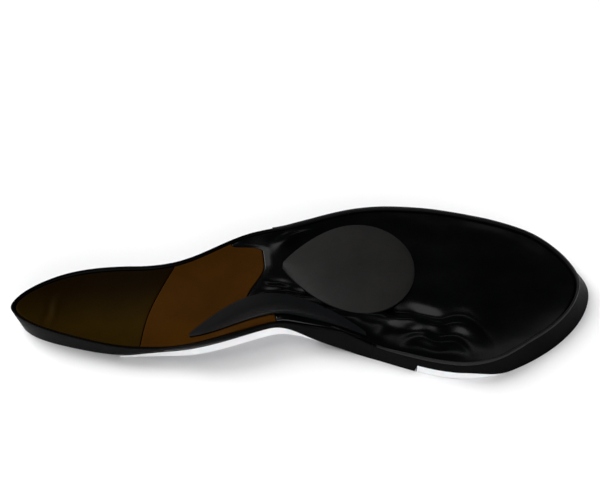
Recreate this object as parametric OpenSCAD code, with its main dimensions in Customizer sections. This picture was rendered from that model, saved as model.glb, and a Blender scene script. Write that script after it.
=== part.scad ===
// Full-length foot orthosis (insole) for a left foot.
// X runs from the heel (-) to the toes (+), -Y is the inner (arch) side, +Z is up.
// The origin is on the ground at the middle of the insole. Millimetres.

/* [Overall size] */
// Length from the back of the heel to the tip of the toes
insole_length = 265; // [225:1:310]
// Widest breadth, across the ball of the foot
ball_breadth = 98; // [80:1:116]
// Breadth of the heel cup
heel_breadth = 47.5; // [42:0.5:60]
// Breadth behind the ball, under the arch
waist_breadth = 63; // [54:1:74]

/* [Height of the edges] */
// Height of the rim at the back of the heel
heel_rim = 13; // [12:0.5:20]
// Height that the arch climbs towards at its inner edge, before the edge rolls over
arch_climb = 25.5; // [24.5:0.5:30]
// How far the inner edge of the arch rolls over and down
edge_roll = 10.5; // [6:0.5:11]
// Height of the rim on the outer side, beside the arch
outer_rim = 10; // [8:0.5:16]
// Height of the edge around the toes
toe_rim_height = 7.5; // [6.5:0.5:10]
// Height of the foot bed along its middle
bed_height = 5.4; // [5:0.1:6.2]
// Clearance under the inner edge of the arch
arch_gap = 9; // [5:0.5:9.5]

/* [Layers] */
// Thickness of the cover sheets
cover_thickness = 2; // [1.5:0.1:2.5]
// Breadth of the black lip left showing outside the covers
lip_breadth = 1.4; // [1:0.1:2.5]
// How far the edge slopes inwards as it rises, beside the ball of the foot
side_bevel = 0.8; // [0.4:0.1:2]
// How far the edge slopes inwards as it rises, around the toes
toe_bevel = 4.6; // [2.5:0.1:5]
// How far the underside of the heel cup is tucked in from its rim
heel_tuck = 3; // [1:0.25:4]
// Thickness of the white post under the arch
arch_post_thickness = 5; // [3:0.1:5.2]
// Thickness of the white post under the ball of the foot
fore_post_thickness = 4.2; // [3:0.1:4.5]

/* [Pads] */
// Length of the teardrop pad behind the ball of the foot
metatarsal_length = 62; // [50:1:70]
// Greatest breadth of the teardrop pad
metatarsal_breadth = 54; // [44:1:58]
// Greatest thickness of the teardrop pad
metatarsal_thickness = 4; // [2.5:0.5:7]
// Thickness of the pad along the arch
arch_pad_thickness = 2; // [1.5:0.25:4]

/* [Hidden] */
// Gap left between two curved faces that lie on one another.
seat = 0.3;
cover_seat = 0.5;
heel_x = 0.21 * insole_length;
waist_x = 0.43 * insole_length;
ball_x = 0.735 * insole_length;
shell_front_x = 0.6 * insole_length;
seat_x = 0.27 * insole_length;
rise_x = 0.47 * insole_length;
crest_x = 0.54 * insole_length;
fall_x = 0.83 * insole_length;
fore_post_x = 0.672 * insole_length;
fore_post_end_x = 0.83 * insole_length;
toe_rim_x = 0.46 * insole_length;
arch_pad_x = 0.294 * insole_length;
arch_pad_end_x = 0.6 * insole_length;
// Point of the teardrop pad and the turn of its long axis.
metatarsal_x = 0.468 * insole_length;
metatarsal_y = 19.5;
metatarsal_turn = -9;
// Thickness of the pads at their edges.
pad_edge = 0.6;
// Slope from the lip down to the face under the covers.
lip_slope = 0.3;
// Gap between two covers, as a share of the middle stretch.
joint = 0.4 / (ball_x - heel_x);
shell_steps = 34;
// Sideways drift of the middle line: heel, seat of the heel, arch, toes.
heel_drift = 1;
seat_drift = -3.6;
waist_drift = 8.5;
toe_drift = -3.5;
// Roundness of the two ends: 2 would be half an ellipse, less is more pointed.
heel_power = 1.7;
toe_power = 1.75;

// Smooth step from a to b while t goes from 0 to 1.
function ease(a, b, t) = let (s = min(max(t, 0), 1)) a + (b - a) * (1 - cos(180 * s)) / 2;
function mix(a, b, t) = a + (b - a) * t;
function clamp(v, low, high) = min(max(v, low), high);
// Smooth step between two stations along the insole.
function between(x, x0, x1, a, b) = ease(a, b, (x - x0) / (x1 - x0));

// ---- Plan shape, with x counted from the back of the heel ----
function half_breadth(x) = x < waist_x
    ? between(x, heel_x, waist_x, heel_breadth / 2, waist_breadth / 2)
    : between(x, waist_x, ball_x, waist_breadth / 2, ball_breadth / 2);
function drift(x) = x < seat_x
    ? between(x, seat_x * 0.25, seat_x, heel_drift, seat_drift)
    : x < crest_x ? between(x, seat_x, rise_x, seat_drift, waist_drift)
    : between(x, crest_x, fall_x, waist_drift, toe_drift);

// Distance from the middle of a rounded end; with power 2 the end is half an ellipse.
function round_norm(u, w, power) =
    max(pow(pow(abs(u), power) + pow(abs(w), power), 1 / power), 0.0001);
// Evens out the spacing near the edge of an end that is longer than it is broad.
// slim is half the breadth over the length of the end.
function even_level(u, w, slim) =
    let (level = max(abs(u), abs(w)), endwise = w * w / (u * u + w * w + 0.000001))
    level + (1 - slim) * endwise * (1 - level) * level * level;
function heel_place(u, w) =
    let (share = even_level(u, w, heel_breadth / 2 / heel_x) / round_norm(u, w, heel_power))
    let (x = heel_x + heel_x * w * share)
    [x, drift(x) + heel_breadth / 2 * u * share];
function toe_place(u, w) =
    let (slim = ball_breadth / 2 / (insole_length - ball_x))
    let (share = even_level(u, w, slim) / round_norm(u, w, toe_power))
    let (x = ball_x + (insole_length - ball_x) * w * share)
    [x, drift(x) + ball_breadth / 2 * u * share];
function middle_place(u, x, side_in) = [x, drift(x) + (half_breadth(x) - side_in) * u];
function shrink(inset, breadth) = 1 - inset / (breadth / 2);
// Place on the insole. across: -1 inner edge, 1 outer edge.
// along: -1 back of the heel, 0 to 1 the middle, 2 tip of the toes.
// side_in and end_in draw a line of places in from the outline.
function place(across, along, side_in = 0, end_in = 0) = along < 0
    ? heel_place(across * shrink(side_in, heel_breadth), along * shrink(end_in, heel_breadth))
    : along > 1
    ? toe_place(across * shrink(side_in, ball_breadth), (along - 1) * shrink(end_in, ball_breadth))
    : middle_place(across, mix(heel_x, ball_x, along), side_in);
// Value of "along" for a distance x from the heel in the middle stretch, and back again.
function along_at(x) = (x - heel_x) / (ball_x - heel_x);
function x_at(along) = mix(heel_x, ball_x, along);

// ---- Heights ----
// How near a place is to the edge: 0 on the middle line, 1 on the outline.
function nearness(p) = let (off = abs(p.y - drift(p.x)))
    p.x < heel_x
    ? round_norm(off / (heel_breadth / 2), (heel_x - p.x) / heel_x, heel_power)
    : p.x < ball_x ? off / half_breadth(p.x)
    : round_norm(off / (ball_breadth / 2), (p.x - ball_x) / (insole_length - ball_x), toe_power);
// -1 on the inner edge, 1 on the outer edge.
function side(p) = clamp((p.y - drift(p.x)) / half_breadth(max(p.x, heel_x)), -1, 1);
function inner_rim(x) = x < waist_x
    ? between(x, seat_x * 0.84, waist_x, heel_rim - 3, arch_climb)
    : between(x, waist_x, shell_front_x * 1.05, arch_climb, toe_rim_height + 1);
function outer_rim_at(x) = x < waist_x
    ? between(x, heel_x, waist_x, heel_rim - 1, outer_rim)
    : between(x, waist_x, ball_x, outer_rim, toe_rim_height);
function rim(p) = let (share = ease(0, 1, (side(p) + 1) / 2))
    p.x < heel_x
    ? ease(mix(heel_rim - 3, heel_rim - 1, share), heel_rim, (heel_x - p.x) / heel_x)
    : p.x < ball_x ? mix(inner_rim(p.x), outer_rim_at(p.x), share)
    : between(p.x, ball_x, insole_length, mix(toe_rim_height + 1, toe_rim_height, share),
        toe_rim_height);
// Drop of the inner edge of the arch, where the covers roll over it.
function roll(p) = edge_roll * pow(inward(p, 0.76), 2)
    * between(p.x, seat_x, waist_x, 0, 1)
    * between(p.x, waist_x * 1.08, shell_front_x * 0.95, 1, 0);
// Upper face of the covers: a shallow dish whose sides steepen towards the toes.
function foot_bed(p) = let (steep = between(p.x, waist_x, ball_x, 2.4, 5))
    bed_height + (rim(p) - bed_height) * pow(min(nearness(p), 1), steep) - roll(p);
// Lowest face of the whole insole: on the ground except beneath the arch.
function arch_lift(x) = x < waist_x
    ? between(x, seat_x * 0.62, waist_x, 0, arch_gap)
    : between(x, waist_x, shell_front_x, arch_gap, 0);
function inward(p, reach) = clamp((-side(p) - reach) / (1 - reach), 0, 1);
function ground(p) = arch_lift(p.x) * pow(inward(p, 0.1), 1.7);
// Room taken by the white posts, tapering away from the inner edge.
function arch_post_room(p) = arch_post_thickness * between(p.x, seat_x * 0.4, seat_x * 1.3, 0, 1)
    * between(p.x, waist_x, waist_x * 1.22, 1, 0) * pow(inward(p, 0.1), 0.8);
function fore_post_room(p) = fore_post_thickness * ease(0, 1, (p.x - fore_post_x + 1) / 1)
    * between(p.x, ball_x * 1.02, fore_post_end_x, 1, 0) * pow(inward(p, 0.4), 0.8);
// Upper face of the shell and the fore base beneath the covers.
function seat_face(p) = foot_bed(p) - cover_thickness - cover_seat;
// Slope of the outer wall: upright at the shell, leaning in around the toes.
// It leans most at the tip and the inner corner of the toes.
function bevel(across, along) =
    between(x_at(min(along, 1)), shell_front_x, ball_x, 0, side_bevel)
    + (toe_bevel - side_bevel) * ease(0, 1, (along - 1) / 0.8) * ease(1, 0.2, across);

// Slope of the outer wall of the shell: its foot is tucked in under the heel.
function tuck(x) = between(x, heel_x, waist_x, heel_tuck, 0);

// The middle of the widest part goes on the X axis, so the origin is central.
widest_part = [for (i = [0:60]) 0.8 + 0.6 * i / 60];
outer_reach = max([for (along = widest_part) place(1, along).y]);
inner_reach = min([for (along = widest_part) place(-1, along).y]);
function in_frame(p, z) = [p.x - insole_length / 2, p.y - (outer_reach + inner_reach) / 2, z];

// ---- Solids ----
// A closed sheet between two grids of points, each a list of rows.
module sheet(low, high) {
    rows = len(low);
    cols = len(low[0]);
    half = rows * cols;
    points = concat([for (row = low) each row], [for (row = high) each row]);
    cells = [for (r = [0:rows - 2], c = [0:cols - 2]) r * cols + c];
    back_edge = [for (c = [0:cols - 2]) [c + 1, c]];
    front_edge = [for (c = [0:cols - 2]) [(rows - 1) * cols + c, (rows - 1) * cols + c + 1]];
    inner_edge = [for (r = [0:rows - 2]) [r * cols, (r + 1) * cols]];
    outer_edge = [for (r = [0:rows - 2]) [(r + 2) * cols - 1, (r + 1) * cols - 1]];
    walls = concat(back_edge, front_edge, inner_edge, outer_edge);
    faces = concat(
        [for (q = cells) [q, q + cols, q + cols + 1]],
        [for (q = cells) [q, q + cols + 1, q + 1]],
        [for (q = cells) [half + q, half + q + cols + 1, half + q + cols]],
        [for (q = cells) [half + q, half + q + 1, half + q + cols + 1]],
        [for (e = walls) [e[0], half + e[1], e[1]]],
        [for (e = walls) [e[0], half + e[0], half + e[1]]]);
    polyhedron(points = points, faces = faces, convexity = 6);
}

// Even steps from -1 to 1, drawn together towards the edges.
function spread(count) = [for (i = [0:count]) sin(90 * (2 * i / count - 1))];
// Lines along the insole, closer together where the inner edge rolls over.
inner_lines = [-0.96, -0.91, -0.86, -0.81, -0.75, -0.66, -0.5, -0.25, 0, 0.25, 0.5, 0.7, 0.87];

// Hard shell that cups the heel and holds up the arch. Its rim stands outside the covers.
module shell() {
    foot = lip_breadth + lip_slope;
    columns = concat([[-1, 0, 1], [-1, lip_breadth, 1], [-1, foot, 0]],
        [for (u = inner_lines) [u, foot, 0]],
        [[1, foot, 0], [1, lip_breadth, 1], [1, 0, 1]]);
    heel_rows = [[-1, 0, 1], [-1, lip_breadth, 1], [-1, foot, 0],
        for (w = [-0.8, -0.65, -0.5, -0.35, -0.18]) [w, 0, 0]];
    front = along_at(shell_front_x);
    rows = concat(heel_rows, [for (i = [0:shell_steps]) [front * i / shell_steps, 0, 0]]);
    spots = [for (row = rows) [for (column = columns)
        concat(place(column[0], row[0], column[1], row[1]), column[2] + row[2])]];
    feet = [for (row = rows) [for (column = columns) let (lean = tuck(x_at(max(row[0], 0))))
        place(column[0], row[0], column[1] + lean, row[1] + lean)]];
    low = [for (line = feet) [for (p = line) in_frame(p, ground(p) + arch_post_room(p))]];
    high = [for (line = spots) [for (p = line) in_frame(p, p.z > 0 ? foot_bed(p) : seat_face(p))]];
    color([0.05, 0.05, 0.055]) sheet(low, high);
}

// Black base under the front of the foot, carrying on from the shell to the toes.
module fore_base() {
    columns = concat([[-1, 0, 1], [-1, lip_breadth, 1], [-1, lip_breadth + lip_slope, 0]],
        [for (u = inner_lines) [u, lip_breadth + lip_slope, 0]],
        [[1, lip_breadth + lip_slope, 0], [1, lip_breadth, 1], [1, 0, 1]]);
    back = shell_front_x + seat;
    post = [fore_post_x - 1, fore_post_x];
    middle = concat([for (i = [0:3]) mix(back, post[0], i / 3)],
        [for (i = [0:5]) mix(post[1], ball_x, i / 5)]);
    rows = concat([for (x = middle) [along_at(x), 0, 0]],
        [for (w = [1.12, 1.24, 1.36, 1.48, 1.6, 1.7, 1.8, 1.88]) [w, 0, 0]],
        [[2, lip_breadth + lip_slope, 0], [2, lip_breadth, 1], [2, 0, 1]]);
    low_spots = [for (row = rows) [for (column = columns)
        place(column[0], row[0], column[1], row[1])]];
    high_spots = [for (row = rows) [for (column = columns)
        let (lean = bevel(column[0], row[0]))
        concat(place(column[0], row[0], column[1] + lean, row[1] + lean), column[2] + row[2])]];
    low = [for (line = low_spots) [for (p = line) in_frame(p, fore_post_room(p))]];
    high = [for (line = high_spots) [for (p = line) in_frame(p, p.z > 0 ? rim(p) : seat_face(p))]];
    color([0.05, 0.05, 0.055]) sheet(low, high);
}

// A cover sheet: follows the foot bed between two lines across the insole.
// start and finish give "along" for each of the columns.
module cover(columns, start, finish, steps, inset) {
    spots = [for (j = [0:steps]) [for (i = [0:len(columns) - 1])
        let (along = mix(start[i], finish[i], j / steps))
        let (lean = bevel(columns[i], along))
        place(columns[i], along, inset + lean, inset + lean)]];
    low = [for (line = spots) [for (p = line) in_frame(p, foot_bed(p) - cover_thickness)]];
    high = [for (line = spots) [for (p = line) in_frame(p, foot_bed(p))]];
    sheet(low, high);
}
cover_inset = lip_breadth + lip_slope + 0.2;
cover_columns = concat([-1], inner_lines, [1]);
// Line across the insole where the heel cover meets the arch cover.
function heel_line(u) = along_at(seat_x * (0.79 + 0.045 * (u + 1) + 0.02 * pow(u + 1, 3)));
// Line across the insole where the arch cover meets the front cover.
function fore_line(u) = along_at(waist_x * (u > 0.7 ? ease(1.02, 0.895, (u - 0.7) / 0.3)
    : u > -0.15 ? ease(0.935, 1.02, (u + 0.15) / 0.6)
    : ease(1.03, 0.935, (u + 1) / 0.85)));

// Amber cover in the cup of the heel.
module heel_cover() {
    start = [for (u = cover_columns) -1];
    finish = [for (u = cover_columns) heel_line(u)];
    color([0.36, 0.2, 0.03]) cover(cover_columns, start, finish, 18, cover_inset);
}

// Brighter amber cover over the arch.
module arch_cover() {
    start = [for (u = cover_columns) heel_line(u) + joint];
    finish = [for (u = cover_columns) fore_line(u)];
    color([0.7, 0.38, 0.06]) cover(cover_columns, start, finish, 18, cover_inset);
}

// Glossy black cover from the arch to the toes.
module fore_cover() {
    start = [for (u = cover_columns) fore_line(u) + joint];
    finish = [for (u = cover_columns) 2];
    color([0.07, 0.07, 0.08]) cover(cover_columns, start, finish, 34, cover_inset);
}

// A soft pad lying on the covers: thin at its edge and domed in the middle.
// spots are rows of [x, y, share of the full thickness].
module pad(spots, thickness) {
    low = [for (line = spots) [for (p = line) in_frame(p, foot_bed(p) + cover_seat)]];
    high = [for (line = spots) [for (p = line) in_frame(p, foot_bed(p) + cover_seat + pad_edge
        + (thickness - pad_edge) * p.z)]];
    sheet(low, high);
}

// Teardrop pad that lifts the bones behind the ball of the foot, point towards the heel.
module metatarsal_pad() {
    widest = 0.6;
    run = concat([for (s = [0.012, 0.06, 0.13, 0.2, 0.28, 0.36, 0.44, 0.52, 0.6]) s],
        [for (i = [1:9]) widest + (1 - widest) * sin(88 * i / 9)]);
    far = [cos(metatarsal_turn), sin(metatarsal_turn)];
    spots = [for (s = run)
        let (shape = s < widest ? pow(sin(90 * s / widest), 0.85)
            : sqrt(1 - pow((s - widest) / (1 - widest), 2)))
        [for (v = spread(12))
            let (a = metatarsal_length * s, b = metatarsal_breadth / 2 * shape * v)
            [metatarsal_x + a * far[0] - b * far[1],
                metatarsal_y + a * far[1] + b * far[0],
                (1 - v * v) * pow(sin(180 * pow(s, 0.9)), 0.6)]]];
    color([0.2, 0.2, 0.19]) pad(spots, metatarsal_thickness);
}

// Pointed pad along the arch, point towards the heel.
module arch_pad() {
    steps = 20;
    spots = [for (j = [0:steps])
        let (s = 0.01 + 0.97 * j / steps, x = mix(arch_pad_x, arch_pad_end_x, s))
        let (inner = -0.86 + 0.16 * pow(1 - s, 3))
        let (outer = inner + 0.03 + 0.68 * sin(180 * pow(s, 0.75)))
        [for (v = spread(8)) let (u = mix(inner, outer, (v + 1) / 2))
            [x, drift(x) + half_breadth(x) * u, (1 - v * v) * sin(180 * pow(s, 0.7))]]];
    color([0.04, 0.04, 0.045]) pad(spots, arch_pad_thickness);
}

// Raised welt standing on the lip around the toes.
module toe_rim() {
    margin = 0.15;
    lateral = [for (i = [0:12]) [1, mix(along_at(toe_rim_x), 1, i / 12)]];
    medial = [for (i = [0:6]) [-1, mix(1, along_at(shell_front_x + 2), i / 6)]];
    tip = concat([for (w = [1.2, 1.4, 1.6, 1.8]) [1, w]],
        [for (i = [0:16]) [1 - i / 8, 2]],
        [for (w = [1.8, 1.6, 1.4, 1.2]) [-1, w]]);
    path = concat(lateral, tip, medial);
    insets = [margin, lip_breadth / 2, lip_breadth - margin];
    spots = [for (q = path) [for (i = [0:2])
        let (lean = bevel(q[0], q[1]) + insets[i])
        place(q[0], q[1], lean, lean)]];
    low = [for (line = spots) [for (p = line) in_frame(p, rim(p) + seat)]];
    high = [for (line = spots) [for (i = [0:2])
        in_frame(line[i], rim(line[i]) + seat + (i == 1 ? 1.2 : 0.7))]];
    color([0.18, 0.18, 0.19]) sheet(high, low);
}

// Distance from the middle line to the outline, also where the toes narrow.
function outline_at(x) = let (t = clamp((x - ball_x) / (insole_length - ball_x), 0, 1))
    half_breadth(x) * pow(1 - pow(t, toe_power), 1 / toe_power);
// A white post: fills the room left for it above the ground line of the insole.
function post_spots(x_start, x_finish, steps, reach) = [for (j = [0:steps])
    let (x = mix(x_start, x_finish, j / steps))
    let (outer = outline_at(x) - tuck(x), inner = half_breadth(x) * reach)
    [for (i = [0:6]) [x, drift(x) - mix(outer, inner, i / 6)]]];

// White wedge glued under the inner edge of the shell, from the heel to the arch.
module arch_post() {
    spots = post_spots(seat_x * 0.67, waist_x * 1.15, 18, 0.45);
    low = [for (line = spots) [for (p = line) in_frame(p, ground(p))]];
    high = [for (line = spots) [for (p = line) in_frame(p, ground(p) + arch_post_room(p) - seat)]];
    color([0.93, 0.93, 0.92]) sheet(low, high);
}

// White wedge under the inner side of the ball of the foot.
module forefoot_post() {
    spots = post_spots(fore_post_x + 0.3, mix(ball_x, fore_post_end_x, 0.7), 16, 0.62);
    low = [for (line = spots) [for (p = line) in_frame(p, 0)]];
    high = [for (line = spots) [for (p = line) in_frame(p, fore_post_room(p) - seat)]];
    color([0.93, 0.93, 0.92]) sheet(low, high);
}

shell();
fore_base();
heel_cover();
arch_cover();
fore_cover();
metatarsal_pad();
arch_pad();
toe_rim();
arch_post();
forefoot_post();
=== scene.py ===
"""Looks of a full-length foot orthosis, built as a Blender add-on and run as a script."""

import math

import bmesh
import bpy
import numpy as np
from mathutils import Matrix, Vector


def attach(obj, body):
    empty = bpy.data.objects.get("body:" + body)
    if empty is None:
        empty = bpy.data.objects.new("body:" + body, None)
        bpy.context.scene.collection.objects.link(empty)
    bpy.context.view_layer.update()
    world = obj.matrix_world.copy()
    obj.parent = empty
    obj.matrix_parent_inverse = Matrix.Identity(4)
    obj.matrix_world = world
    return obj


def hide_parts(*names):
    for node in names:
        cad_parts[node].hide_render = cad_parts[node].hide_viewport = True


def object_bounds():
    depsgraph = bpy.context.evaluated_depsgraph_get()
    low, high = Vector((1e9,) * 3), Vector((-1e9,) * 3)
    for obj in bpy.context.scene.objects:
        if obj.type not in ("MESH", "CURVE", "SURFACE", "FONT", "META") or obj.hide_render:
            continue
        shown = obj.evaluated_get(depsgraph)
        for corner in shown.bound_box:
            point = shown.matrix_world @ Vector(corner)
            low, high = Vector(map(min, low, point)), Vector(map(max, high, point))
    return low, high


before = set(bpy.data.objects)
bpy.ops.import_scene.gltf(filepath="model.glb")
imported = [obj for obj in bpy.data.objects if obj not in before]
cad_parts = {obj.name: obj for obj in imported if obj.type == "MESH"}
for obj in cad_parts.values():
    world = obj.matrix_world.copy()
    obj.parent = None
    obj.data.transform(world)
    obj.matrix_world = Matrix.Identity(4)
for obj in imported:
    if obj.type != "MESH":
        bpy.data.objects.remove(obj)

CAD_LOW, CAD_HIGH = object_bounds()

bl_info = {
    "name": "Foot orthosis maker",
    "version": (1, 0, 0),
    "blender": (4, 5, 0),
    "location": "3D View > Sidebar > Insole",
    "description": "Builds a full-length insole from its shell, covers, pads and posts",
    "category": "Add Mesh",
}

BODY = "root"

# Clearances: under the covers, beside their edges, and between two of them.
COVER_SEAT = 0.0005
COVER_MARGIN = 0.0005
COVER_JOINT = 0.00025
# The covers' lower edges are rounded less, and a sunken edge reaches this share of their length.
UNDER_ROUNDING = 0.0003
STEP_REACH = 0.008
# The raised lip outside the covers: rounding of its top, steps of that, and slope inside.
LIP_ROUNDING = 0.0005
LIP_STEPS = 3
LIP_SLOPE = 0.0003
# The pads: height of the underside and of the upper face over the covers, and edge thickness.
PAD_SEAT = 0.0001
PAD_LIFT = 0.0003
PAD_EDGE = 0.0006
# Gap between one part of the base or of a post and the next.
PART_GAP = 0.0001


# ---------------------------------------------------------------- settings

def length_property(name, description, default):
    return bpy.props.FloatProperty(
        name=name, description=description, default=default, min=0.0,
        precision=5, unit="LENGTH", subtype="DISTANCE")


def colour_property(name, description, default):
    return bpy.props.FloatVectorProperty(
        name=name, description=description, default=default, min=0.0, max=1.0,
        size=3, subtype="COLOR")


class InsoleSizes(bpy.types.PropertyGroup):
    """Sizes of the insole."""

    length: length_property(
        "Length", "From the back of the heel to the tip of the toes", CAD_HIGH.x - CAD_LOW.x)
    ball_breadth: length_property("Ball breadth", "Breadth across the ball of the foot", 0.098)
    heel_breadth: length_property("Heel breadth", "Breadth of the heel cup", 0.0475)
    waist_breadth: length_property("Waist breadth", "Breadth behind the ball", 0.063)
    heel_rim: length_property("Heel rim", "Height of the rim at the back of the heel", 0.013)
    arch_climb: length_property("Arch climb", "Height the arch climbs towards at its edge", 0.0255)
    edge_roll: length_property("Edge roll", "How far the edge of the arch rolls down", 0.0105)
    outer_rim: length_property("Outer rim", "Height of the rim on the outer side", 0.010)
    toe_rim_height: length_property("Toe edge", "Height of the edge around the toes", 0.0075)
    bed_height: length_property("Foot bed", "Height of the foot bed along its middle", 0.0054)
    arch_gap: length_property("Arch gap", "Clearance under the inner edge of the arch", 0.009)
    cover_thickness: length_property("Cover thickness", "Thickness of the cover sheets", 0.002)
    lip_breadth: length_property("Lip", "Breadth of the lip outside the covers", 0.0014)
    side_bevel: length_property("Side slope", "Slope of the edge beside the ball", 0.0008)
    toe_bevel: length_property("Toe slope", "Slope of the edge around the toes", 0.0046)
    heel_tuck: length_property("Heel tuck", "How far the heel cup tucks in below its rim", 0.003)
    arch_post_thickness: length_property("Arch post", "Thickness of the arch post", 0.005)
    fore_post_thickness: length_property("Forefoot post", "Thickness of the front post", 0.0042)
    pad_length: length_property("Teardrop length", "Length of the teardrop pad", 0.062)
    pad_breadth: length_property("Teardrop breadth", "Breadth of the teardrop pad", 0.054)
    pad_thickness: length_property("Teardrop thickness", "Thickness of the teardrop pad", 0.004)
    arch_pad_thickness: length_property("Arch pad thickness", "Thickness of the arch pad", 0.002)
    edge_radius: length_property("Edge rounding", "Rounding of the edges of the covers", 0.0005)


class InsoleColours(bpy.types.PropertyGroup):
    """Colours of the insole."""

    amber: colour_property("Amber leather", "Cover over the arch", (0.0330, 0.0120, 0.0010))
    dark_amber: colour_property("Dark amber leather", "Cover in the heel", (0.0175, 0.0092, 0.0006))
    front: colour_property("Front cover", "Glossy black cover", (0.0003, 0.0004, 0.0005))
    shell: colour_property("Shell", "Hard black shell", (0.0007, 0.0007, 0.0008))
    base: colour_property("Base", "Black foam base", (0.0006, 0.0006, 0.0007))
    # The teardrop's warm grey is partly its own colour and partly a painted reflection of the studio
    # on its domed face.
    teardrop: colour_property("Teardrop pad", "Warm grey foam", (0.0098, 0.0093, 0.0088))
    arch_pad: colour_property("Arch pad", "Black gel", (0.0022, 0.0025, 0.0030))
    # The welt's grey is partly its own colour and partly a painted highlight: the light line along
    # the rim around the toes.
    welt: colour_property("Welt", "Grey edge welt", (0.0060, 0.0062, 0.0068))
    post: colour_property("Posts", "White foam", (0.86, 0.86, 0.88))
    floor: colour_property("Floor", "Pale floor", (0.93, 0.93, 0.935))


# ---------------------------------------------------------------- form of the insole

def ease(a, b, t):
    """Smooth step from a to b while t goes from 0 to 1."""
    s = np.clip(t, 0.0, 1.0)
    return a + (b - a) * (1 - np.cos(math.pi * s)) / 2


def mix(a, b, t):
    """Straight line from a to b while t goes from 0 to 1."""
    return a + (b - a) * t


class Form:
    """The insole's plan and heights. x is counted from the back of the heel, -y is the arch side."""

    heel_power = 1.7
    toe_power = 1.75
    heel_drift = 0.001
    seat_drift = -0.0036
    waist_drift = 0.0085
    toe_drift = -0.0035
    # The rim is lower on each side of the heel, and higher at the inner side of the toes.
    inner_heel_drop = 0.003
    outer_heel_drop = 0.001
    inner_toe_rise = 0.001
    # Shares of the way to the arch side from which the arch lifts, the forefoot post starts and
    # the edge rolls down.
    arch_reach = 0.1
    fore_post_reach = 0.4
    roll_reach = 0.76
    # Length over which the front base steps up to leave room for its post.
    post_step = 0.001

    def __init__(self, s):
        self.s = s
        size = s.length
        self.heel_x = 0.21 * size
        self.waist_x = 0.43 * size
        self.ball_x = 0.735 * size
        self.front_x = 0.6 * size
        self.seat_x = 0.27 * size
        self.rise_x = 0.47 * size
        self.crest_x = 0.54 * size
        self.fall_x = 0.83 * size
        self.fore_post_x = 0.672 * size
        self.fore_post_end_x = 0.83 * size
        widest = np.linspace(0.8, 1.4, 61)
        outer = self.place(np.ones(61), widest)[1].max()
        inner = self.place(-np.ones(61), widest)[1].min()
        self.middle_y = (outer + inner) / 2

    def between(self, x, x0, x1, a, b):
        return ease(a, b, (x - x0) / (x1 - x0))

    def half_breadth(self, x):
        s = self.s
        back = self.between(x, self.heel_x, self.waist_x, s.heel_breadth / 2, s.waist_breadth / 2)
        front = self.between(x, self.waist_x, self.ball_x, s.waist_breadth / 2, s.ball_breadth / 2)
        return np.where(x < self.waist_x, back, front)

    def drift(self, x):
        """Place of the middle line across the insole."""
        a = self.between(x, self.seat_x * 0.25, self.seat_x, self.heel_drift, self.seat_drift)
        b = self.between(x, self.seat_x, self.rise_x, self.seat_drift, self.waist_drift)
        c = self.between(x, self.crest_x, self.fall_x, self.waist_drift, self.toe_drift)
        return np.where(x < self.seat_x, a, np.where(x < self.crest_x, b, c))

    def along_at(self, x):
        return (x - self.heel_x) / (self.ball_x - self.heel_x)

    def x_at(self, along):
        return mix(self.heel_x, self.ball_x, np.clip(along, 0, 1))

    def round_norm(self, u, w, power):
        total = np.abs(u) ** power + np.abs(w) ** power
        return np.maximum(total ** (1 / power), 1e-4)

    def even_level(self, u, w, slim):
        """Evens out the spacing near the edge of an end that is longer than it is broad."""
        level = np.maximum(np.abs(u), np.abs(w))
        endwise = w * w / (u * u + w * w + 1e-6)
        return level + (1 - slim) * endwise * (1 - level) * level * level

    def place(self, across, along, side_in=0.0, end_in=0.0):
        """Plan place from shares: across -1 to 1, along -1 (heel), 0 to 1 (middle), 2 (toes)."""
        s = self.s
        across, along, side_in, end_in = np.broadcast_arrays(
            *[np.asarray(v, float) for v in (across, along, side_in, end_in)])
        heel_half, ball_half = s.heel_breadth / 2, s.ball_breadth / 2
        u = across * (1 - side_in / heel_half)
        w = np.minimum(along, 0) * (1 - end_in / heel_half)
        share = self.even_level(u, w, heel_half / self.heel_x)
        share = share / self.round_norm(u, w, self.heel_power)
        heel_px = self.heel_x + self.heel_x * w * share
        heel_py = self.drift(heel_px) + heel_half * u * share
        u = across * (1 - side_in / ball_half)
        w = np.maximum(along - 1, 0) * (1 - end_in / ball_half)
        share = self.even_level(u, w, ball_half / (s.length - self.ball_x))
        share = share / self.round_norm(u, w, self.toe_power)
        toe_px = self.ball_x + (s.length - self.ball_x) * w * share
        toe_py = self.drift(toe_px) + ball_half * u * share
        mid_px = mix(self.heel_x, self.ball_x, along)
        mid_py = self.drift(mid_px) + (self.half_breadth(mid_px) - side_in) * across
        x = np.where(along < 0, heel_px, np.where(along > 1, toe_px, mid_px))
        y = np.where(along < 0, heel_py, np.where(along > 1, toe_py, mid_py))
        return x, y

    def nearness(self, x, y):
        """Share of the way from the middle line to the outline: 0 to 1."""
        s = self.s
        off = np.abs(y - self.drift(x))
        heel = self.round_norm(
            off / (s.heel_breadth / 2), np.maximum(self.heel_x - x, 0) / self.heel_x,
            self.heel_power)
        toe = self.round_norm(
            off / (s.ball_breadth / 2),
            np.maximum(x - self.ball_x, 0) / (s.length - self.ball_x), self.toe_power)
        middle = off / self.half_breadth(x)
        return np.where(x < self.heel_x, heel, np.where(x < self.ball_x, middle, toe))

    def side(self, x, y):
        """Place across the insole: -1 at the arch side to 1 at the outer side."""
        half = self.half_breadth(np.maximum(x, self.heel_x))
        return np.clip((y - self.drift(x)) / half, -1, 1)

    def inner_rim(self, x):
        s = self.s
        back = self.between(
            x, self.seat_x * 0.84, self.waist_x, s.heel_rim - self.inner_heel_drop, s.arch_climb)
        front = self.between(
            x, self.waist_x, self.front_x * 1.05, s.arch_climb,
            s.toe_rim_height + self.inner_toe_rise)
        return np.where(x < self.waist_x, back, front)

    def outer_rim_at(self, x):
        s = self.s
        back = self.between(
            x, self.heel_x, self.waist_x, s.heel_rim - self.outer_heel_drop, s.outer_rim)
        front = self.between(x, self.waist_x, self.ball_x, s.outer_rim, s.toe_rim_height)
        return np.where(x < self.waist_x, back, front)

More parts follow.
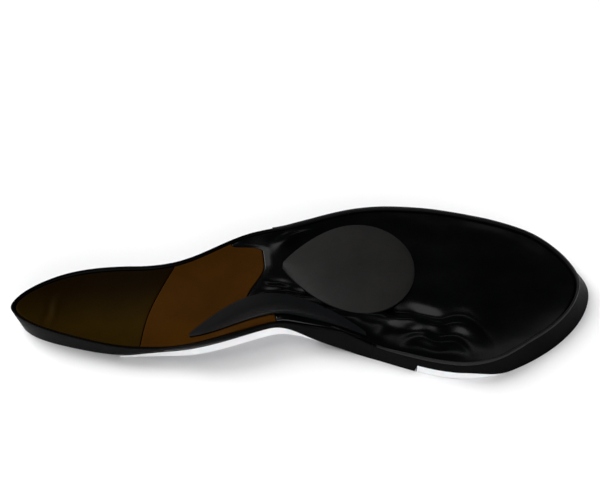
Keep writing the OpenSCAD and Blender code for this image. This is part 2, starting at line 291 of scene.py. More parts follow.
    def rim(self, x, y):
        s = self.s
        share = ease(0, 1, (self.side(x, y) + 1) / 2)
        beside_heel = mix(
            s.heel_rim - self.inner_heel_drop, s.heel_rim - self.outer_heel_drop, share)
        heel = ease(beside_heel, s.heel_rim, (self.heel_x - x) / self.heel_x)
        middle = mix(self.inner_rim(x), self.outer_rim_at(x), share)
        beside_toes = mix(s.toe_rim_height + self.inner_toe_rise, s.toe_rim_height, share)
        toe = self.between(x, self.ball_x, s.length, beside_toes, s.toe_rim_height)
        return np.where(x < self.heel_x, heel, np.where(x < self.ball_x, middle, toe))

    def roll(self, x, y):
        """Drop of the inner edge of the arch, where the covers roll over it."""
        rise = self.between(x, self.seat_x, self.waist_x, 0, 1)
        fall = self.between(x, self.waist_x * 1.08, self.front_x * 0.95, 1, 0)
        return self.s.edge_roll * self.inward(x, y, self.roll_reach) ** 2 * rise * fall

    def foot_bed(self, x, y):
        """Upper face of the covers."""
        s = self.s
        steep = self.between(x, self.waist_x, self.ball_x, 2.4, 5.0)
        near = np.clip(self.nearness(x, y), 0, 1)
        dish = (self.rim(x, y) - s.bed_height) * near ** steep
        return s.bed_height + dish - self.roll(x, y)

    def arch_lift(self, x):
        back = self.between(x, self.seat_x * 0.62, self.waist_x, 0, self.s.arch_gap)
        front = self.between(x, self.waist_x, self.front_x, self.s.arch_gap, 0)
        return np.where(x < self.waist_x, back, front)

    def inward(self, x, y, reach):
        """Share of the way from reach to the outline, on the arch side: 0 to 1."""
        return np.clip((-self.side(x, y) - reach) / (1 - reach), 0, 1)

    def ground(self, x, y):
        """Lowest face: on the ground except beneath the arch."""
        return self.arch_lift(x) * self.inward(x, y, self.arch_reach) ** 1.7

    def arch_post_room(self, x, y):
        """Height of the space left for the arch post under the shell."""
        rise = self.between(x, self.seat_x * 0.4, self.seat_x * 1.3, 0, 1)
        fall = self.between(x, self.waist_x, self.waist_x * 1.22, 1, 0)
        inward = self.inward(x, y, self.arch_reach) ** 0.8
        return self.s.arch_post_thickness * rise * fall * inward

    def fore_post_room(self, x, y):
        """Height of the space left for the forefoot post under the front base."""
        rise = ease(0, 1, (x - self.fore_post_x + self.post_step) / self.post_step)
        fall = self.between(x, self.ball_x * 1.02, self.fore_post_end_x, 1, 0)
        inward = self.inward(x, y, self.fore_post_reach) ** 0.8
        return self.s.fore_post_thickness * rise * fall * inward

    def outline_at(self, x):
        """Distance from the middle line to the outline, also where the toes narrow."""
        t = np.clip((x - self.ball_x) / (self.s.length - self.ball_x), 0, 1)
        return self.half_breadth(x) * (1 - t ** self.toe_power) ** (1 / self.toe_power)

    def bevel(self, across, along):
        """Slope of the wall: most at the tip and the inner corner of the toes."""
        s = self.s
        beside = self.between(self.x_at(along), self.front_x, self.ball_x, 0, s.side_bevel)
        ahead = ease(0, 1, (along - 1) / 0.8) * ease(1, 0.2, across)
        return beside + (s.toe_bevel - s.side_bevel) * ahead

    def tuck(self, x):
        """How far the wall of the heel cup leans in at its foot."""
        return self.between(x, self.heel_x, self.waist_x, self.s.heel_tuck, 0)

    def in_frame(self, x, y, z):
        """Points in the shared frame, whose origin is below the middle of the insole."""
        return np.stack(np.broadcast_arrays(x - self.s.length / 2, y - self.middle_y, z), -1)


# ---------------------------------------------------------------- mesh making

def rounded(radius, steps=5):
    """Pairs of inset and drop along a quarter round, from the edge inwards."""
    turns = [math.pi / 2 * i / steps for i in range(steps + 1)]
    return [(radius * (1 - math.cos(t)), radius * (1 - math.sin(t))) for t in turns]


def new_piece(name, mesh, node, material, smooth_angle=50):
    """Links a mesh as a piece of the insole that stands for a CAD node."""
    for polygon in mesh.polygons:
        polygon.use_smooth = True
    mesh.set_sharp_from_angle(angle=math.radians(smooth_angle))
    piece = bpy.data.objects.new(name, mesh)
    bpy.context.scene.collection.objects.link(piece)
    mesh.materials.clear()
    mesh.materials.append(material)
    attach(piece, BODY)
    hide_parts(node)
    return piece


def slab_mesh(name, high, low):
    """A closed slab between two grids of points with the same rows and columns."""
    rows, cols = high.shape[:2]
    built = bmesh.new()
    upper = [[built.verts.new(high[r, c]) for c in range(cols)] for r in range(rows)]
    lower = [[built.verts.new(low[r, c]) for c in range(cols)] for r in range(rows)]
    for r in range(rows - 1):
        for c in range(cols - 1):
            built.faces.new((upper[r][c], upper[r + 1][c], upper[r + 1][c + 1], upper[r][c + 1]))
            built.faces.new((lower[r][c], lower[r][c + 1], lower[r + 1][c + 1], lower[r + 1][c]))
    for c in range(cols - 1):
        built.faces.new((upper[0][c], upper[0][c + 1], lower[0][c + 1], lower[0][c]))
        built.faces.new((upper[-1][c + 1], upper[-1][c], lower[-1][c], lower[-1][c + 1]))
    for r in range(rows - 1):
        built.faces.new((upper[r + 1][0], upper[r][0], lower[r][0], lower[r + 1][0]))
        built.faces.new((upper[r][-1], upper[r + 1][-1], lower[r + 1][-1], lower[r][-1]))
    bmesh.ops.recalc_face_normals(built, faces=built.faces)
    mesh = bpy.data.meshes.new(name)
    built.to_mesh(mesh)
    built.free()
    return mesh


def lines(first, last, count):
    return list(np.linspace(first, last, count))


def as_row(places):
    """One array for each value of the places, each a single row."""
    return [np.array(v)[None, :] for v in zip(*places)]


def as_column(places):
    """One array for each value of the places, each a single column."""
    return [np.array(v)[:, None] for v in zip(*places)]


def edged_places(first, last, count, radius):
    """Places from first to last, rounded at both ends: place, inset and drop."""
    edge = rounded(radius)
    places = [(first, i, d) for i, d in edge]
    places += [(p, radius, 0.0) for p in lines(first, last, count + 2)[1:-1]]
    return places + [(last, i, d) for i, d in reversed(edge)]


def lip_edge(lip_breadth):
    """Steps over the lip from the outside in: inset, 1 where it is raised, and drop."""
    top = rounded(LIP_ROUNDING, LIP_STEPS)
    steps = [(i, 1.0, d) for i, d in top]
    steps += [(lip_breadth - i, 1.0, d) for i, d in reversed(top)]
    return steps + [(lip_breadth + LIP_SLOPE, 0.0, 0.0)]


def lipped_grid(lip_breadth, across_count, rows):
    """Grid over a base with a raised lip along its sides, and at an end if rows has one.

    Returns the shares across and along with their insets, where the lip is, and its drop.
    """
    edge = lip_edge(lip_breadth)
    columns = [(-1.0, *step) for step in edge]
    columns += [(u, *edge[-1]) for u in lines(-1, 1, across_count + 2)[1:-1]]
    columns += [(1.0, *step) for step in reversed(edge)]
    u, side_in, side_up, side_drop = as_row(columns)
    w, end_in, end_up, end_drop = as_column(rows)
    raised = np.maximum(side_up, end_up) > 0
    return u, side_in, w, end_in, raised, np.maximum(side_drop, end_drop)


def flat_rows(first, last, count):
    """Rows without a lip or an inset."""
    return [(w, 0.0, 0.0, 0.0) for w in lines(first, last, count)]


def cover_slab(form, name, start, finish, detail, across_count, along_count, ring=None,
               sunk=0.0):
    """A cover sheet that follows the foot bed from the line start to the line finish.

    ring is "heel" or "toe" where that end follows the rim instead of a line across.
    sunk is how far the edge along the start lies below the sheet next to it.
    """
    s = form.s
    inset = s.lip_breadth + COVER_MARGIN
    span = form.ball_x - form.heel_x
    u, side_in, side_drop = as_row(edged_places(-1.0, 1.0, across_count, s.edge_radius))
    t, end_in, end_drop = as_column(edged_places(0.0, 1.0, along_count, s.edge_radius))
    drop = np.maximum(side_drop, end_drop)
    along = mix(start(u), finish(u), t)
    if ring != "heel":
        along = along + np.where(t <= 0.5, end_in / span, 0) * (1 - t)
    if ring != "toe":
        along = along - np.where(t > 0.5, end_in / span, 0) * t
    lean = form.bevel(u, along)
    ring_in = np.full_like(along, s.edge_radius)
    if ring == "heel":
        ring_in = np.where(t <= 0.5, end_in, ring_in)
    if ring == "toe":
        ring_in = np.where(t > 0.5, end_in, ring_in)
    x, y = form.place(u, along, inset + side_in + lean, inset + ring_in + lean)
    bed = form.foot_bed(x, y)
    step = sunk * np.exp(-(t / STEP_REACH) ** 2)
    high = form.in_frame(x, y, bed - drop - step + detail(x, y))
    low = form.in_frame(x, y, bed - s.cover_thickness + np.minimum(drop, UNDER_ROUNDING))
    return slab_mesh(name, high, low)


def pad_slab(form, name, spots_x, spots_y, share, thickness):
    """A soft pad on the covers. share is the dome's share of the full thickness."""
    bed = form.foot_bed(spots_x, spots_y)
    top = bed + PAD_LIFT + PAD_EDGE + (thickness - PAD_EDGE) * share
    high = form.in_frame(spots_x, spots_y, top)
    low = form.in_frame(spots_x, spots_y, bed + PAD_SEAT)
    return slab_mesh(name, high, low)


# Creases pressed into the front cover behind the ball: from, to, bow, breadth, height.
CREASES = (
    ((0.108, 0.0010), (0.156, -0.0085), 0.0040, 0.0022, 0.0010),
    ((0.110, -0.0050), (0.170, -0.0180), 0.0035, 0.0024, 0.0011),
    ((0.113, 0.0110), (0.131, 0.0050), -0.0020, 0.0020, 0.0006),
    ((0.150, -0.0160), (0.196, -0.0300), 0.0065, 0.0036, 0.0012),
    ((0.158, -0.0270), (0.214, -0.0390), 0.0140, 0.0042, 0.0014),
    ((0.170, -0.0330), (0.204, -0.0420), 0.0070, 0.0036, 0.0011),
    ((0.116, 0.0320), (0.150, 0.0430), -0.0020, 0.0026, 0.0007),
    ((0.120, 0.0260), (0.136, 0.0380), 0.0015, 0.0024, 0.0005),
)
# Crease across the heel cover, given in the same way.
HEEL_CREASES = (
    ((0.0175, -0.0150), (0.0225, 0.0120), 0.0016, 0.0016, 0.0006),
)
# Shallow hollows pressed into the front cover: place, radius and depth.
HOLLOWS = (
    ((0.2350, 0.0090), 0.0130, 0.0006),
    ((0.1900, -0.0340), 0.0090, 0.0005),
)
# Groove beside each crease: its distance and breadth in breadths of the crease, and its depth.
GROOVE_OFF = 1.7
GROOVE_BREADTH = 0.9
GROOVE_DEPTH = 0.7


def pressed(x, y, marks):
    """Height added by creases at places x, y of the plan."""
    height = np.zeros_like(x)
    for (x0, y0), (x1, y1), bow, breadth, rise in marks:
        long = math.hypot(x1 - x0, y1 - y0)
        ax, ay = (x1 - x0) / long, (y1 - y0) / long
        run = (x - x0) * ax + (y - y0) * ay
        off = (y - y0) * ax - (x - x0) * ay
        share = np.clip(run / long, 0, 1)
        off = off - bow * np.sin(math.pi * share) * (1 + 0.35 * np.sin(9 * share + 40 * breadth))
        swell = np.sin(math.pi * share) ** 1.5
        ridge = np.exp(-(off / breadth) ** 2)
        groove = np.exp(-((off - GROOVE_OFF * breadth) / (GROOVE_BREADTH * breadth)) ** 2)
        height = height + rise * swell * (ridge - GROOVE_DEPTH * groove)
    return height


def hollows(x, y):
    """Depth of the shallow hollows at places x, y of the plan."""
    depth = np.zeros_like(x)
    for (x0, y0), radius, deep in HOLLOWS:
        depth = depth + deep * np.exp(-((x - x0) ** 2 + (y - y0) ** 2) / radius ** 2)
    return depth


def waves(x, y, size, depth):
    """Gentle unevenness of soft material, as a sum of slow waves."""
    a, b = x / size, y / size
    total = (np.sin(a * 6.3 + 1.7 * np.sin(b * 4.1 + 0.4))
             + np.sin(b * 7.1 + 1.3 * np.sin(a * 3.7 + 1.1))
             + 0.6 * np.sin((a + b) * 8.9 + 2.3 * np.sin((a - b) * 3.1)))
    return depth * total / 2.6


# ---------------------------------------------------------------- materials

# Names of the shader's sockets that hold one value for the whole surface.
SHADER_SOCKETS = {
    "roughness": "Roughness",
    "specular": "Specular IOR Level",
    "sheen": "Sheen Weight",
    "sheen_roughness": "Sheen Roughness",
    "subsurface": "Subsurface Weight",
    "subsurface_scale": "Subsurface Scale",
}
# Numbers of the mix node's sockets for colours.
MIX_FIRST = 6
MIX_SECOND = 7
MIX_RESULT = 2
# Painted shade: what the leather's colour is multiplied by where it is darkest, on the far wall of
# the heel cup.
FAR_WALL_SHADE = (0.3, 0.27, 0.22, 1)


class Nodes:
    """Short way to place and join shader nodes."""

    def __init__(self, name):
        self.material = bpy.data.materials.new(name)
        self.material.use_nodes = True
        self.tree = self.material.node_tree
        self.tree.nodes.clear()
        self.shader = self.add("ShaderNodeBsdfPrincipled")
        output = self.add("ShaderNodeOutputMaterial")
        self.join(self.shader.outputs["BSDF"], output.inputs["Surface"])
        self.place = self.add("ShaderNodeTexCoord").outputs["Object"]

    def add(self, kind, **settings):
        node = self.tree.nodes.new(kind)
        for key, value in settings.items():
            setattr(node, key, value)
        return node

    def join(self, output, socket):
        self.tree.links.new(output, socket)

    def finish(self, **values):
        """Sets values that are the same all over on the shader's own sockets."""
        for key, value in values.items():
            self.shader.inputs[SHADER_SOCKETS[key]].default_value = value

    def noise(self, scale, detail=3.0, roughness=0.5, stretch=None):
        node = self.add("ShaderNodeTexNoise")
        node.inputs["Scale"].default_value = scale
        node.inputs["Detail"].default_value = detail
        node.inputs["Roughness"].default_value = roughness
        self.join(self.stretched(stretch), node.inputs["Vector"])
        return node.outputs["Fac"]

    def cells(self, scale):
        node = self.add("ShaderNodeTexVoronoi")
        node.inputs["Scale"].default_value = scale
        self.join(self.place, node.inputs["Vector"])
        return node.outputs["Distance"]

    def stretched(self, stretch):
        if stretch is None:
            return self.place
        mapping = self.add("ShaderNodeMapping")
        mapping.inputs["Scale"].default_value = stretch
        self.join(self.place, mapping.inputs["Vector"])
        return mapping.outputs["Vector"]

    def ramp(self, value, low, high, low_at=0.3, high_at=0.7):
        node = self.add("ShaderNodeValToRGB")
        ends = node.color_ramp.elements
        ends[0].position, ends[1].position = low_at, high_at
        ends[0].color = (*low, 1)
        ends[1].color = (*high, 1)
        self.join(value, node.inputs["Fac"])
        return node.outputs["Color"]

    def scale(self, value, low, high):
        node = self.add("ShaderNodeMapRange")
        node.inputs["To Min"].default_value = low
        node.inputs["To Max"].default_value = high
        self.join(value, node.inputs["Value"])
        return node.outputs["Result"]

    def paint_shade(self, colour, start, finish):
        """Painted shade: the colour, made darker step by step as y goes from start to finish."""
        split = self.add("ShaderNodeSeparateXYZ")
        self.join(self.place, split.inputs["Vector"])
        spread = self.add("ShaderNodeMapRange", interpolation_type="SMOOTHSTEP")
        spread.inputs["From Min"].default_value = start
        spread.inputs["From Max"].default_value = finish
        self.join(split.outputs["Y"], spread.inputs["Value"])
        node = self.add("ShaderNodeMix", data_type="RGBA", blend_type="MULTIPLY")
        self.join(spread.outputs["Result"], node.inputs["Factor"])
        self.join(colour, node.inputs[MIX_FIRST])
        node.inputs[MIX_SECOND].default_value = FAR_WALL_SHADE
        return node.outputs[MIX_RESULT]

    def bump(self, height, strength, distance, under=None):
        node = self.add("ShaderNodeBump")
        node.inputs["Strength"].default_value = strength
        node.inputs["Distance"].default_value = distance
        self.join(height, node.inputs["Height"])
        if under is not None:
            self.join(under, node.inputs["Normal"])
        return node.outputs["Normal"]


def shades(colour, dark, light):
    """A darker and a lighter shade of the colour."""
    return [min(c * dark, 1.0) for c in colour], [min(c * light, 1.0) for c in colour]


def leather(name, colour, far_shade=None):
    """Smooth dyed leather: soft mottling, fine pores and faint creases.

    far_shade is the two values of y between which a painted shade makes the colour grow darker
    towards the outer side, standing in for the shade on the heel cup's far wall.
    """
    n = Nodes(name)
    dark, light = shades(colour, 0.78, 1.16)
    dye_and_shade = n.ramp(n.noise(38, 5, 0.6), dark, light)
    # Painted shade over the outer side, standing in for the shade on the heel cup's far wall.
    if far_shade:
        dye_and_shade = n.paint_shade(dye_and_shade, *far_shade)
    n.join(dye_and_shade, n.shader.inputs["Base Color"])
    n.join(n.scale(n.noise(260, 3, 0.6), 0.42, 0.62), n.shader.inputs["Roughness"])
    pores = n.bump(n.cells(900), 0.18, 0.00012)
    creases = n.bump(n.noise(150, 4, 0.55, (1, 2.6, 1)), 0.25, 0.00025, pores)
    n.join(creases, n.shader.inputs["Normal"])
    n.finish(specular=0.012)
    return n.material


def patent(name, colour, relief=1.0, roughness=(0.14, 0.26)):
    """Glossy black cover: deep gloss over a faint grain, slightly uneven."""
    n = Nodes(name)
    dark, light = shades(colour, 0.6, 1.5)
    n.join(n.ramp(n.noise(24, 4, 0.6), dark, light), n.shader.inputs["Base Color"])
    n.join(n.scale(n.noise(90, 4, 0.6), *roughness), n.shader.inputs["Roughness"])
    grain = n.bump(n.cells(1100), 0.04 * relief, 0.00008)
    waves = n.bump(n.noise(32, 1, 0.4, (1, 1.8, 1)), 0.2 * relief, 0.0006, grain)
    n.join(waves, n.shader.inputs["Normal"])
    n.finish(specular=0.2)
    return n.material


def hard_plastic(name, colour):
    """Moulded black plastic with fine scuffs along the edge."""
    n = Nodes(name)
    dark, light = shades(colour, 0.7, 1.8)
    n.join(n.ramp(n.noise(120, 6, 0.7, (1, 1, 3)), dark, light, 0.45, 0.8),
           n.shader.inputs["Base Color"])
    n.join(n.scale(n.noise(60, 5, 0.65), 0.3, 0.5), n.shader.inputs["Roughness"])
    n.join(n.bump(n.noise(1400, 2, 0.5), 0.06, 0.00005), n.shader.inputs["Normal"])
    n.finish(specular=0.04)
    return n.material


def foam(name, colour, gloss=0.5, cell=1800, contrast=(0.7, 1.35), mottle=70, **finish):
    """Closed-cell foam: fine cells and soft mottling."""
    n = Nodes(name)
    dark, light = shades(colour, *contrast)
    n.join(n.ramp(n.noise(mottle, 5, 0.65), dark, light), n.shader.inputs["Base Color"])
    n.join(n.scale(n.noise(400, 3, 0.6), gloss, gloss + 0.22), n.shader.inputs["Roughness"])
    cells = n.bump(n.cells(cell), 0.3, 0.00012)
    n.join(n.bump(n.noise(220, 3, 0.5), 0.12, 0.0002, cells), n.shader.inputs["Normal"])
    n.finish(**finish)
    return n.material


# ---------------------------------------------------------------- pieces

def sizes():
    return bpy.context.scene.insole_sizes


def colours():
    return bpy.context.scene.insole_colours


def heel_line(form, u):
    """Line across where the heel cover meets the arch cover."""
    return form.along_at(form.seat_x * (0.79 + 0.045 * (u + 1) + 0.02 * (u + 1) ** 3))


def fore_line(form, u):
    """Line across where the arch cover meets the front cover."""
    outer = ease(1.02, 0.895, (u - 0.7) / 0.3)
    middle = ease(0.935, 1.02, (u + 0.15) / 0.6)
    inner = ease(1.03, 0.935, (u + 1) / 0.85)
    shares = np.where(u > 0.7, outer, np.where(u > -0.15, middle, inner))
    return form.along_at(form.waist_x * shares)


class INSOLE_OT_shell(bpy.types.Operator):
    """Build the hard shell that cups the heel and holds up the arch"""

    bl_idname = "insole.shell"
    bl_label = "Shell"

    def execute(self, context):
        form = Form(sizes())
        s = form.s
        rows = [(-1.0, *step) for step in lip_edge(s.lip_breadth)]
        rows += flat_rows(-1, 0, 18)[1:]
        rows += flat_rows(0, form.along_at(form.front_x), 90)[1:]
        u, side_in, w, end_in, raised, drop = lipped_grid(s.lip_breadth, 70, rows)
        x, y = form.place(u, w, side_in, end_in)
        bed = form.foot_bed(x, y)
        top = np.where(raised, bed - drop, bed - s.cover_thickness - COVER_SEAT)
        high = form.in_frame(x, y, top)
        lean = form.tuck(form.x_at(w)) + 0 * u
        x, y = form.place(u, w, side_in + lean, end_in + lean)
        low = form.in_frame(x, y, form.ground(x, y) + form.arch_post_room(x, y))
        mesh = slab_mesh("shell", high, low)
        new_piece("hard_shell", mesh, "shell",
                  hard_plastic("shell_plastic", colours().shell))
        return {"FINISHED"}


class INSOLE_OT_fore_base(bpy.types.Operator):
    """Build the black base under the front of the foot"""

    bl_idname = "insole.fore_base"
    bl_label = "Front base"

    def execute(self, context):
        form = Form(sizes())
        s = form.s
        back = form.along_at(form.front_x + PART_GAP)
        before_step = form.along_at(form.fore_post_x - form.post_step)
        after_step = form.along_at(form.fore_post_x)
        rows = flat_rows(back, before_step, 18)
        rows += flat_rows(after_step, 1, 16)
        rows += flat_rows(1, 2, 50)[1:-1]
        rows += [(2.0, *step) for step in reversed(lip_edge(s.lip_breadth))]
        u, side_in, w, end_in, raised, drop = lipped_grid(s.lip_breadth, 50, rows)
        lean = form.bevel(u, w)
        x, y = form.place(u, w, side_in + lean, end_in + lean)
        floor = form.foot_bed(x, y) - s.cover_thickness - COVER_SEAT
        high = form.in_frame(x, y, np.where(raised, form.rim(x, y) - drop, floor))
        x, y = form.place(u, w, side_in, end_in)
        low = form.in_frame(x, y, form.fore_post_room(x, y))
        mesh = slab_mesh("fore_base", high, low)
        new_piece("front_base", mesh, "fore_base",
                  foam("base_foam", colours().base, 0.35, 1500, specular=0.04))
        return {"FINISHED"}


class INSOLE_OT_covers(bpy.types.Operator):
    """Build the two amber covers and the glossy front cover"""

    bl_idname = "insole.covers"
    bl_label = "Covers"

    def execute(self, context):
        form = Form(sizes())
        joint = COVER_JOINT / (form.ball_x - form.heel_x)

        def plain(x, y):
            return waves(x, y, 0.055, 0.00012)

        def creased(x, y):
            free = ease(0, 1, (0.96 - form.nearness(x, y)) / 0.12)
            marks = pressed(x, y, CREASES) - hollows(x, y)
            return free * (marks + waves(x, y, 0.06, 0.00028))

        def ridged(x, y):
            return plain(x, y) + pressed(x, y, HEEL_CREASES)

        heel = cover_slab(form, "heel_cover", lambda u: -1 + 0 * u,
                          lambda u: heel_line(form, u) - joint / 2, ridged, 60, 90, ring="heel")
        # The heel cover gets a painted shade over its far side, darker towards the heel cup's far
        # wall.
        piece = new_piece("heel_cover_leather", heel, "heel_cover",
                          leather("dark_amber_leather", colours().dark_amber, (-0.012, 0.017)))
        arch = cover_slab(form, "arch_cover", lambda u: heel_line(form, u) + joint / 2,
                          lambda u: fore_line(form, u) - joint / 2, plain, 80, 80)
        piece = new_piece("arch_cover_leather", arch, "arch_cover",
                          leather("amber_leather", colours().amber))
        fore = cover_slab(form, "fore_cover", lambda u: fore_line(form, u) + joint / 2,
                          lambda u: 2 + 0 * u, creased, 130, 230, ring="toe", sunk=0.0004)
        piece = new_piece("front_cover_gloss", fore, "fore_cover",
                          patent("front_gloss", colours().front))
        return {"FINISHED"}


class INSOLE_OT_teardrop_pad(bpy.types.Operator):
    """Build the teardrop pad behind the ball of the foot"""

    bl_idname = "insole.teardrop_pad"
    bl_label = "Teardrop pad"

    def execute(self, context):
        form = Form(sizes())
        s = form.s
        start = 0.468 * s.length
        outward = 0.0195
        widest = 0.6
        turn = math.radians(-9)
        run = np.concatenate([
            np.linspace(0.012, widest, 40)[:-1],
            widest + (1 - widest) * np.sin(np.radians(np.linspace(0, 88, 40)))])
        back = np.sin(np.pi / 2 * np.clip(run / widest, 0, 1)) ** 0.85
        front = np.sqrt(np.clip(1 - ((run - widest) / (1 - widest)) ** 2, 0, 1))
        half = (s.pad_breadth / 2 * np.where(run < widest, back, front))[:, None]
        v = np.sin(np.linspace(-math.pi / 2, math.pi / 2, 49))[None, :]
        run = run[:, None]
        x = start + s.pad_length * run * math.cos(turn) - half * v * math.sin(turn)
        y = outward + s.pad_length * run * math.sin(turn) + half * v * math.cos(turn)
        share = (1 - v * v) * np.sin(np.pi * run ** 0.9) ** 0.6
        mesh = pad_slab(form, "metatarsal_pad", x, y, share, s.pad_thickness)
        # Its grey colour is partly the pad's own and partly a painted reflection.
        piece = new_piece("teardrop_pad_foam", mesh, "metatarsal_pad",
                          foam("teardrop_foam", colours().teardrop, 0.45, 1500, (0.62, 1.2), 26,
                               specular=0.1, sheen=0.01, sheen_roughness=0.5))
        return {"FINISHED"}


class INSOLE_OT_arch_pad(bpy.types.Operator):
    """Build the pointed pad along the arch"""

    bl_idname = "insole.arch_pad"
    bl_label = "Arch pad"

    def execute(self, context):
        form = Form(sizes())
        s = form.s
        heel_end = 0.294
        toe_end = 0.6
        run = (0.01 + 0.97 * np.linspace(0, 1, 90))[:, None]
        v = np.sin(np.linspace(-math.pi / 2, math.pi / 2, 33))[None, :]
        x = mix(heel_end, toe_end, run) * s.length
        inner = -0.86 + 0.16 * (1 - run) ** 3
        outer = inner + 0.03 + 0.68 * np.sin(np.pi * run ** 0.75)
        u = mix(inner, outer, (v + 1) / 2)
        x = x + 0 * u
        y = form.drift(x) + form.half_breadth(x) * u
        share = (1 - v * v) * np.sin(np.pi * run ** 0.7)
        mesh = pad_slab(form, "arch_pad", x, y, share, s.arch_pad_thickness)
        piece = new_piece("arch_pad_gel", mesh, "arch_pad",
                          patent("arch_gel", colours().arch_pad, 0.1, (0.38, 0.5)))
        return {"FINISHED"}


# The welt: the share of the length where it starts, how far in front of the shell it ends, its
# margins on the lip, the height of its foot over the lip and of its round above that, how deep
# it sits, and the steps over which its ends fade.
WELT_START = 0.46
WELT_END_GAP = 0.002
WELT_MARGIN = 0.00015
WELT_FOOT = 0.0004
WELT_HEIGHT = 0.0011
WELT_DEPTH = 0.0002
WELT_FADE = 12.0


class INSOLE_OT_toe_rim(bpy.types.Operator):
    """Build the raised welt around the toes"""

    bl_idname = "insole.toe_rim"
    bl_label = "Toe rim"

    def execute(self, context):
        form = Form(sizes())
        s = form.s
        start = float(form.along_at(WELT_START * s.length))
        finish = float(form.along_at(form.front_x + WELT_END_GAP))
        path = [(1.0, w) for w in lines(start, 1, 60)]
        path += [(1.0, w) for w in lines(1, 2, 40)[1:-1]]
        path += [(u, 2.0) for u in lines(1, -1, 80)]
        path += [(-1.0, w) for w in lines(2, 1, 40)[1:-1]]
        path += [(-1.0, w) for w in lines(1, finish, 30)]
        u, w = as_column(path)
        across = np.linspace(0, math.pi, 9)[None, :]
        reach = mix(WELT_MARGIN, s.lip_breadth - WELT_MARGIN, (1 - np.cos(across)) / 2)
        steps = np.arange(len(path))
        to_end = np.minimum(steps, len(path) - 1 - steps)
        fade = ease(0, 1, to_end / WELT_FADE)[:, None]
        lean = form.bevel(u, w) + reach
        x, y = form.place(u, w, lean, lean)
        base = form.rim(x, y)
        top = base + WELT_FOOT + WELT_HEIGHT * np.sin(across) * fade
        high = form.in_frame(x, y, top)
        low = form.in_frame(x, y, base - WELT_DEPTH)
        mesh = slab_mesh("toe_rim", high, low)
        # Its grey colour is partly the welt's own and partly a painted highlight of the rim line.
        new_piece("toe_welt", mesh, "toe_rim",
                  foam("welt_rubber", colours().welt, 0.3, 2200, specular=0.15))
        return {"FINISHED"}


# The thinnest a post is made.
POST_LEAST = 0.0002


class INSOLE_OT_posts(bpy.types.Operator):
    """Build the two white foam posts under the inner side"""

    bl_idname = "insole.posts"
    bl_label = "Posts"

    def execute(self, context):
        form = Form(sizes())
        white = foam("post_foam", colours().post, 0.75, 1600, (0.94, 1.02), subsurface=0.2,
                     subsurface_scale=0.001, specular=0.3)

        def post(name, node, x_start, x_finish, reach, ground, room):
            x = np.linspace(x_start, x_finish, 120)[:, None]
            t = np.linspace(0, 1, 20)[None, :]
            x = x + 0 * t
            half = form.half_breadth(x)
            outer = form.outline_at(x) - form.tuck(x) - PART_GAP
            y = form.drift(x) - mix(outer, half * reach, t)
            low = ground(x, y)
            high = low + np.maximum(room(x, y) - PART_GAP, POST_LEAST)
            mesh = slab_mesh(node, form.in_frame(x, y, high), form.in_frame(x, y, low))
            new_piece(name, mesh, node, white)

        post("arch_post_wedge", "arch_post", form.seat_x * 0.66, form.waist_x * 1.2, 0.45,
             form.ground, form.arch_post_room)
        post("forefoot_post_wedge", "forefoot_post", form.fore_post_x + PART_GAP,
             mix(form.ball_x, form.fore_post_end_x, 0.9), 0.62,
             lambda x, y: 0 * x, form.fore_post_room)
        return {"FINISHED"}


# ---------------------------------------------------------------- stage

CAMERA_TARGET = Vector((0.0056, 0.0044, 0.0059))
CAMERA_AZIMUTH = -8.0
CAMERA_ELEVATION = 49.0
CAMERA_ROLL = 1.1
CAMERA_DISTANCE = 0.782
CAMERA_LENS = 102.0
# How far the view is aimed to the left of the target and above it.
AIM_LEFT = 0.0076
AIM_UP = 0.0219

FLOOR_SIZE = 8
FLOOR_DROP = 0.0001
SKY_STRENGTH = 0.02
# Lights: name, strength, softness in degrees, and the direction they come from.
SUNS = (
    ("overhead_light", 1.6, 56, (-0.45, 0.1, 1.0)),
    ("key_light", 2.65, 40, (-0.72, 0.58, 0.74)),
    ("fill_light", 2.4, 60, (0.12, -1.0, 0.16)),
)
# Dim soft panels, there to be seen in the glossy faces: name, power, sides and place.
PANELS = (
    ("back_panel", 0.10, (0.30, 0.08), (0.20, 0.95, 0.75)),
    ("side_panel", 0.16, (0.10, 0.40), (-0.75, 0.65, 0.75)),
)


def aim_camera(camera):
    """Sets the camera round the target, with the insole a little below the middle of the view."""
    a = math.radians(CAMERA_AZIMUTH)
    e = math.radians(CAMERA_ELEVATION)
    back = Vector((math.sin(a) * math.cos(e), -math.cos(a) * math.cos(e), math.sin(e)))
    camera.location = CAMERA_TARGET + back * CAMERA_DISTANCE
    right = Vector((math.cos(a), math.sin(a), 0))
    up = back.cross(right)
    aim = CAMERA_TARGET - right * AIM_LEFT + up * AIM_UP
    look = (aim - camera.location).normalized()
    turn = look.to_track_quat("-Z", "Y").to_matrix().to_4x4()
    camera.rotation_mode = "QUATERNION"
    tilt = Matrix.Rotation(math.radians(CAMERA_ROLL), 4, "Z")
    camera.rotation_quaternion = (turn @ tilt).to_quaternion()


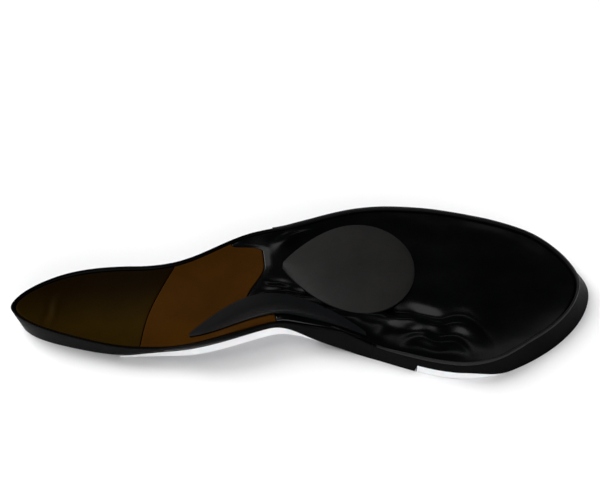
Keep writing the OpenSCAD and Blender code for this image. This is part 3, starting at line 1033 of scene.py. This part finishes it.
class INSOLE_OT_stage(bpy.types.Operator):
    """Build the floor, the lights and the camera"""

    bl_idname = "insole.stage"
    bl_label = "Stage"

    def execute(self, context):
        scene = context.scene
        scene.view_settings.view_transform = "Standard"
        bpy.ops.mesh.primitive_plane_add(size=FLOOR_SIZE, location=(0, 0, -FLOOR_DROP))
        floor = context.active_object
        floor.name = "floor"
        n = Nodes("pale_floor")
        dark, light = shades(colours().floor, 0.985, 1.0)
        n.join(n.ramp(n.noise(3, 3), dark, light), n.shader.inputs["Base Color"])
        n.finish(roughness=0.9, specular=0.1)
        floor.data.materials.append(n.material)
        world = bpy.data.worlds.new("studio")
        world.use_nodes = True
        sky = world.node_tree.nodes["Background"]
        sky.inputs["Color"].default_value = (1, 1, 1, 1)
        sky.inputs["Strength"].default_value = SKY_STRENGTH
        scene.world = world
        for sun in SUNS:
            self.sun(*sun)
        for panel in PANELS:
            self.panel(*panel)
        camera = bpy.data.objects.new("camera", bpy.data.cameras.new("camera"))
        scene.collection.objects.link(camera)
        camera.data.sensor_width = 36
        camera.data.lens = CAMERA_LENS
        camera.data.clip_start = 0.05
        aim_camera(camera)
        scene.camera = camera
        return {"FINISHED"}

    def sun(self, name, strength, softness, direction):
        light = bpy.data.lights.new(name, "SUN")
        light.energy = strength
        light.angle = math.radians(softness)
        self.hang(light, direction)

    def panel(self, name, energy, size, location):
        light = bpy.data.lights.new(name, "AREA")
        light.energy = energy
        light.shape = "RECTANGLE"
        light.size, light.size_y = size
        self.hang(light, location).location = location

    def hang(self, light, direction):
        """Adds the light to the scene, turned so that it shines from that direction."""
        lamp = bpy.data.objects.new(light.name, light)
        lamp.rotation_euler = Vector(direction).to_track_quat("Z", "Y").to_euler()
        bpy.context.scene.collection.objects.link(lamp)
        return lamp


class INSOLE_PT_panel(bpy.types.Panel):
    """Lists the sizes, the colours and the pieces"""

    bl_idname = "INSOLE_PT_panel"
    bl_label = "Insole"
    bl_space_type = "VIEW_3D"
    bl_region_type = "UI"
    bl_category = "Insole"

    def draw(self, context):
        for group in (context.scene.insole_sizes, context.scene.insole_colours):
            box = self.layout.box()
            for name in group.__annotations__:
                box.prop(group, name)
        for operator in OPERATORS:
            self.layout.operator(operator.bl_idname)


OPERATORS = (INSOLE_OT_stage, INSOLE_OT_shell, INSOLE_OT_fore_base, INSOLE_OT_covers,
             INSOLE_OT_teardrop_pad, INSOLE_OT_arch_pad, INSOLE_OT_toe_rim, INSOLE_OT_posts)
CLASSES = (InsoleSizes, InsoleColours, *OPERATORS, INSOLE_PT_panel)


def register():
    for kind in CLASSES:
        bpy.utils.register_class(kind)
    bpy.types.Scene.insole_sizes = bpy.props.PointerProperty(type=InsoleSizes)
    bpy.types.Scene.insole_colours = bpy.props.PointerProperty(type=InsoleColours)


def unregister():
    del bpy.types.Scene.insole_colours
    del bpy.types.Scene.insole_sizes
    for kind in reversed(CLASSES):
        bpy.utils.unregister_class(kind)


def main():
    """Registers the add-on, then builds the stage and every piece."""
    register()
    bpy.ops.insole.stage()
    bpy.ops.insole.shell()
    bpy.ops.insole.fore_base()
    bpy.ops.insole.covers()
    bpy.ops.insole.teardrop_pad()
    bpy.ops.insole.arch_pad()
    bpy.ops.insole.toe_rim()
    bpy.ops.insole.posts()


if __name__ == "__main__":
    main()
